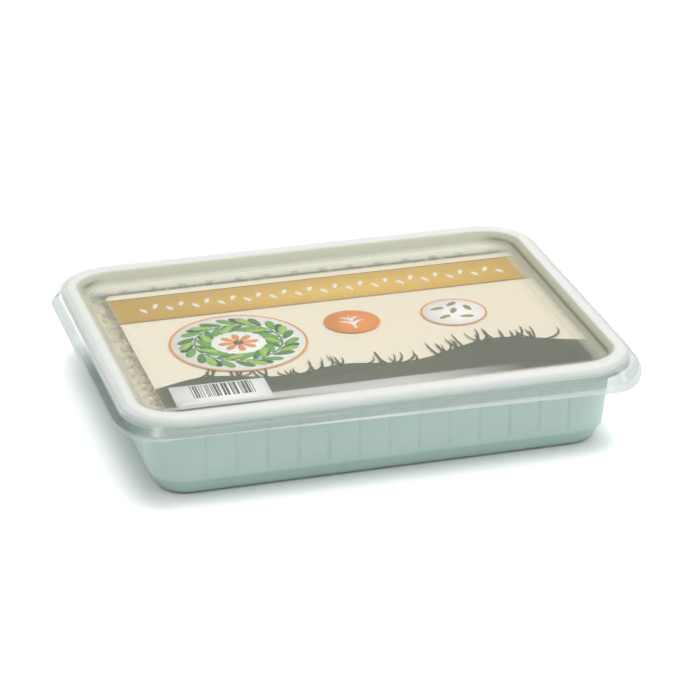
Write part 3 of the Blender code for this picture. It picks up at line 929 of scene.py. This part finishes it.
# A level is its half length and width, its height, its share of the lugs and of the corner lobes, its haze,
# how white it is, how much beige painted shade and reflection and how much greenish-brown painted shade that
# haze carries, how much more haze the back gets there as painted light and the front as a painted
# reflection, and how dark it is on the left of the front as a painted shadow.
LID_LEVELS = np.array([
    [RIM_X - 21.4, RIM_Y - 21.4, PANEL_Z, 0.0, 0.0, 0.012, 0.95, 0.0, 0.0, 0.0, 0.0, 0.0],
    [RIM_X - 20.8, RIM_Y - 20.8, PANEL_Z, 0.0, 0.0, 0.012, 0.95, 0.0, 0.0, 0.0, 0.8, 0.0],
    [RIM_X - 18.0, RIM_Y - 18.0, PANEL_Z, 0.0, 0.0, 0.012, 0.95, 0.1, 0.0, 0.0, 0.9, 0.0],
    [RIM_X - 16.9, RIM_Y - 16.9, PANEL_Z, 0.0, 0.0, 0.015, 0.95, 0.5, 0.0, 0.9, 1.0, 0.0],
    [RIM_X - 15.9, RIM_Y - 16.3, PANEL_Z, 0.0, 0.0, 0.03, 0.95, 0.51, 0.0, 0.92, 1.0, 0.0],
    [RIM_X - 15.3, RIM_Y - 15.9, PANEL_Z, 0.0, 0.0, 0.04, 0.95, 0.52, 0.0, 0.94, 0.9, 1.0],
    [RIM_X - 13.1, RIM_Y - 14.6, PANEL_Z, 0.0, 0.0, 0.075, 0.95, 0.54, 0.0, 0.98, 0.8, 1.0],
    [RIM_X - 12.1, RIM_Y - 14.0, PANEL_Z, 0.0, 0.0, 0.09, 0.95, 0.55, 0.0, 1.0, 0.8, 0.3],
    [RIM_X - 11.5, RIM_Y - 13.6, PANEL_Z, 0.0, 0.0, 0.10, 0.95, 0.55, 0.0, 1.0, 0.8, 0.0],
    [RIM_X - 10.1, RIM_Y - 12.2, PANEL_Z, 0.0, 0.0, 0.14, 0.95, 0.55, 0.0, 0.9, 0.5, 0.0],
    [RIM_X - 9.3, RIM_Y - 11.4, PANEL_Z + 0.2, 0.0, 0.0, 0.18, 1.0, 0.2, 0.0, 0.9, 0.5, 0.0],
    [RIM_X - 8.4, RIM_Y - 10.5, PANEL_Z, 0.0, 0.0, 0.20, 1.0, 0.7, 0.0, 0.5, 0.5, 0.0],
    [RIM_X - 7.55, RIM_Y - 9.65, PANEL_Z, 0.0, 0.0, 0.34, 1.0, 0.7, 0.0, 0.4, 0.5, 0.0],
    [RIM_X - 6.3, RIM_Y - 8.4, PANEL_Z + 1.25, 0.0, 0.0, 0.31, 1.0, 0.6, 0.1, 0.0, 0.0, 0.0],
    [RIM_X - 5.9, RIM_Y - 8.0, PANEL_Z + 1.65, 0.0, 0.0, 0.35, 1.0, 0.7, 1.0, 0.0, 0.0, 0.0],
    [RIM_X - 5.4, RIM_Y - 7.5, PANEL_Z + 2.15, 0.0, 0.0, 0.37, 1.0, 0.75, 1.0, 0.0, 0.0, 0.0],
    [RIM_X - 5.0, RIM_Y - 7.1, PANEL_Z + 2.55, 0.0, 0.0, 0.39, 1.0, 0.75, 0.1, 0.0, 0.0, 0.0],
    [RIM_X - 3.45, RIM_Y - 5.55, LID_TOP - 0.1, 0.0, 0.0, 0.44, 1.0, 0.65, 0.0, 0.0, 0.0, 0.0],
    [RIM_X - 2.9, RIM_Y - 5.0, LID_TOP - 0.08, 0.0, 0.0, 0.62, 1.0, 0.0, 0.0, 0.0, 0.0, 0.0],
    [RIM_X - 1.5, RIM_Y - 2.5, LID_TOP, 0.0, 0.0, 0.66, 1.0, 0.0, 0.0, 0.0, 0.0, 0.0],
    [RIM_X, RIM_Y, LID_TOP - 0.08, 0.0, 0.0, 0.62, 1.0, 0.0, 0.0, 0.0, 0.0, 0.0],
    [RIM_X + 1.9, RIM_Y + 1.9, LID_TOP - 0.5, 0.0, 0.0, 0.30, 0.8, 0.0, 0.0, 0.0, 0.0, 0.0],
    [RIM_X + 3.1, RIM_Y + 3.1, LID_TOP - 1.35, 0.2, 0.0, 0.36, 0.9, 0.0, 0.0, 0.0, 0.0, 0.0],
    [RIM_X + 3.1, RIM_Y + 3.1, LID_TOP - 1.9, 0.8, 0.0, 0.30, 0.8, 0.0, 0.0, 0.0, 0.0, 0.0],
    [RIM_X + 3.4, RIM_Y + 3.4, LID_TOP - 2.8, 1.0, 0.0, 0.17, 0.3, 0.0, 0.0, 0.0, 0.0, 0.0],
    [RIM_X + 3.4, RIM_Y + 3.4, LID_TOP - 3.5, 0.7, 0.2, 0.16, 0.2, 0.0, 0.0, 0.0, 0.0, 0.0],
    [RIM_X + 4.0, RIM_Y + 4.0, LID_TOP - 3.9, 0.0, 0.3, 0.18, 0.2, 0.0, 0.0, 0.0, 0.0, 0.0],
    [SKIRT_X - 0.95, SKIRT_Y - 0.95, LID_TOP - 5.45, 0.0, 0.26, 0.20, 0.2, 0.0, 0.0, 0.0, 0.0, 0.0],
    [SKIRT_X - 0.8, SKIRT_Y - 0.8, LID_TOP - 5.6, 0.0, 0.32, 0.32, 0.75, 0.0, 0.0, 0.0, 0.0, 0.0],
    [SKIRT_X - 0.12, SKIRT_Y - 0.12, LID_TOP - 6.3, 0.0, 0.97, 0.44, 0.75, 0.0, 0.0, 0.0, 0.0, 0.0],
    [SKIRT_X, SKIRT_Y, LID_TOP - 6.4, 0.0, 1.0, 0.70, 0.55, 0.0, 0.0, 0.0, 0.0, 0.0],
])


def lid_marks(levels, loop, points):
    """What the finish reads at each point: a level's own share times how far the place faces that way.

    Greenish-brown painted shade shows on the short sides and at the corners. The sheet is smoky there too,
    and on the left its smokiness is also painted shade that deepens towards the front. The back gets painted
    light and the front a painted reflection. Each lug has white haze as a painted highlight, the back of the
    panel faint scallops of painted shade, the front a painted shadow line that fades to the middle, and the
    left shoulder more haze as painted light.
    """
    half_x, _, height, _, lobes, haze = np.hsplit(levels[:, :6], 6)
    white, straw_shade_reflection, olive_shade, back_light_share, front_reflection_share, dark = np.hsplit(levels[:, 6:], 6)
    outward, to_right = loop[2], loop[2][:, 0]
    right, left = np.clip(to_right, 0.0, 1.0) ** 2, np.clip(-to_right, 0.0, 1.0) ** 2
    front = np.clip(-outward[:, 1], 0.0, 1.0)
    lug, lobe = lug_and_lobe(outward)
    wall, skirt = half_x > RIM_X + WALL_FROM, half_x > RIM_X + SKIRT_FROM
    # The shoulder rows on the left get extra haze as painted light.
    shoulder = ~wall & (half_x > RIM_X + SHOULDER_FROM)
    under_top = LID_TOP - height
    # Painted highlight on the lugs: white haze down each lug's wall.
    lug_highlight = np.clip((under_top - LUG_HIGHLIGHT_FROM) / (LUG_HIGHLIGHT_FULL - LUG_HIGHLIGHT_FROM), 0.0, 1.0)
    lug_highlight = wall * lug * lug_highlight * (under_top < LUG_HIGHLIGHT_TO)
    # Painted shade: scallops that thin the back's painted light at the flutes.
    along = (np.nan_to_num(loop[4], nan=FLUTE_PITCH / 2) - SCALLOP_SHADE_SHIFT) / FLUTE_PITCH
    scallop_shade = SCALLOP_SHADE * np.exp(-(((along - np.round(along)) / SCALLOP_SHADE_WIDTH) ** 2))
    back = np.clip(outward[:, 1], 0.0, 1.0) * (1 - scallop_shade * (half_x < RIM_X - SCALLOP_SHADE_INSET))
    # Painted light at the back and a painted reflection at the front, both as haze.
    reflection_fade = np.clip((FRONT_REFLECTION_END - points[..., 0]) / FRONT_MARKS_FADE, 0.0, 1.0)
    painted_veils = BACK_PAINTED_LIGHT * back_light_share * back + FRONT_PAINTED_REFLECTION * front_reflection_share * front * reflection_fade
    # Painted shadow: the dark line along the panel's front, strongest on the left.
    line = dark * front * np.clip(-points[..., 0] / FRONT_MARKS_FADE, 0.0, 1.0)
    own = haze * (1 - RIGHT_CLEAR * right * (half_x < RIM_X - RIGHT_CLEAR_INSET))
    # Painted shade, most on the right side and at the corners, less on the left.
    olive_shade = olive_shade * np.maximum(right + LEFT_OLIVE_SHADE * left, lobe)
    beside = np.where(to_right > 0, to_right / RIGHT_FADE, (-to_right - LEFT_FADE_FROM) / LEFT_FADE)
    beside = np.clip(beside, 0.0, 1.0)
    # On the left the smokiness is also painted shade, set along the length of the side.
    side_smoke_and_shade = np.where(to_right > 0, RIGHT_SMOKE, np.interp(points[..., 1], LEFT_SMOKE_AND_SHADE_AT, LEFT_SMOKE_AND_SHADE))
    smoked = np.where(to_right > 0, wall, skirt)
    tints = OLIVE_SHADE_HAZE * olive_shade + SHADOW_LINE_HAZE * line + LEFT_SHOULDER_PAINTED_LIGHT * shoulder * left
    return {
        "haze": own + LUG_HIGHLIGHT_HAZE * lug_highlight + painted_veils + tints - LOBE_CLEAR * lobes * lobe,
        "white": np.minimum(white + LUG_HIGHLIGHT_WHITE * lug_highlight, 1.0),
        "straw_shade_reflection": straw_shade_reflection * (1 - FRONT_STRAW_SHADE_LOSS * front),
        "olive_shade": OLIVE_SHADE_SHARE * olive_shade,
        "dark": line,
        "smoke_and_shade": wall * FRONT_SMOKE + smoked * (side_smoke_and_shade - FRONT_SMOKE) * beside,
        "satin": wall * SIDE_SATIN * beside,
    }


def lug_and_lobe(outward):
    """How far each direction lies on a lug, a cosine wave round its middle, and on a lobe, sin(2 turn)^2."""
    from_long_side = np.arctan2(np.abs(outward[:, 0]), np.abs(outward[:, 1]))
    lug = 0.5 + 0.5 * np.cos(np.clip((from_long_side - LUG_TURN) / LUG_HALF_TURN, -1, 1) * math.pi)
    return lug, (2 * outward[:, 0] * outward[:, 1]) ** 2


def lid_shell():
    """Rings from the panel out over the rim and down to the skirt's edge.

    The lugs and the lobes push a ring outwards, and the lobes let it down. The skirt's front edge is also
    twisted: it falls as x grows.
    """
    levels = softened(LID_LEVELS, LID_BEND)
    half_x, half_y, height, lugs, lobes = np.hsplit(levels[:, :5], 5)
    places_x = np.linspace(-LID_SIDE[0], LID_SIDE[0], 110)
    places_y = np.linspace(-LID_SIDE[1], LID_SIDE[1], 35)
    loop = rounded_loop(LID_CORNER, places_x, places_y, 26)
    lug, lobe = lug_and_lobe(loop[2])
    push = LUG_HEIGHT * lugs * lug + LOBE_SPREAD * lobes * lobe
    points = ring_points(loop, half_x + push, half_y + push, height - LOBE_DROP * lobes * lobe)
    front = np.clip(-loop[2][:, 1], 0.0, 1.0)
    points[..., 2] += lobes * front * (SKIRT_LIFT - SKIRT_TWIST * points[..., 0])
    mesh = lofted("lid_shell", points, upward=True)
    for name, value in lid_marks(levels, loop, points).items():
        layer = mesh.attributes.new(name, "FLOAT", "POINT")
        layer.data.foreach_set("value", value.astype(np.float32).ravel())
    return mesh


def clear_plastic():
    """Clear sheet: it mirrors 4% head on and more at a glance, as facing^5 grows, but less where it is satin.

    It lets the rest through, dimmer where it is smoky, which on the left is also painted shade. Its haze
    covers that, from grey to white, to a beige tint of painted shade and reflection, to a greenish-brown tint
    of painted shade, and to the dark of a painted shadow line.
    """
    material, milk = new_material("clear_plastic", Roughness=0.4)
    clear = shader_node(material, "BsdfTransparent")
    through = mixed(material, SHEET_CLEAR, SHEET_SMOKE_AND_SHADE, attribute(material, "smoke_and_shade"))
    joined(material, clear.inputs["Color"], through)
    mirror = shader_node(material, "BsdfGlossy", Color=(1.0, 1.0, 1.0, 1.0), Roughness=0.22)
    glance = shader_node(material, "LayerWeight", Blend=0.5)
    power = worked(material, "Math", "POWER", glance.outputs["Facing"], 5.0)
    share = mapped(material, power.outputs["Value"], To_Min=0.04, To_Max=GLANCE_MOST)
    gloss = mapped(material, attribute(material, "satin"), To_Min=1.0, To_Max=0.0)
    mirrored = worked(material, "Math", "MULTIPLY", share, gloss)
    pane = shader_node(material, "MixShader")
    joined(material, pane.inputs["Fac"], mirrored.outputs["Value"])
    joined(material, pane.inputs[1], clear.outputs["BSDF"])
    joined(material, pane.inputs[2], mirror.outputs["BSDF"])
    # Tints over the grey: white haze, then beige painted shade and reflection, greenish-brown painted shade
    # and a dark painted shadow line.
    tint = SHEET_GREY
    tones = ("white", SHEET_MILK), ("straw_shade_reflection", SHEET_STRAW_SHADE_REFLECTION), ("olive_shade", SHEET_OLIVE_SHADE), ("dark", SHEET_PAINTED_SHADOW)
    for name, color in tones:
        tint = mixed(material, tint, color, attribute(material, name))
    joined(material, milk.inputs["Base Color"], tint)
    sheet = shader_node(material, "MixShader")
    joined(material, sheet.inputs["Fac"], attribute(material, "haze"))
    joined(material, sheet.inputs[1], pane.outputs["Shader"])
    joined(material, sheet.inputs[2], milk.outputs["BSDF"])
    output = material.node_tree.nodes["Material Output"]
    joined(material, output.inputs["Surface"], sheet.outputs["Shader"])
    waves = noise(material, shader_node(material, "TexCoord").outputs["Object"], 38.0, 2.0)
    bump = embossed(material, mirror, waves, Strength=0.12, Distance=0.001)
    joined(material, milk.inputs["Normal"], bump.outputs["Normal"])
    return material


placed("lid_shell", lid_shell(), clear_plastic(), LID_SHEET, "lid")
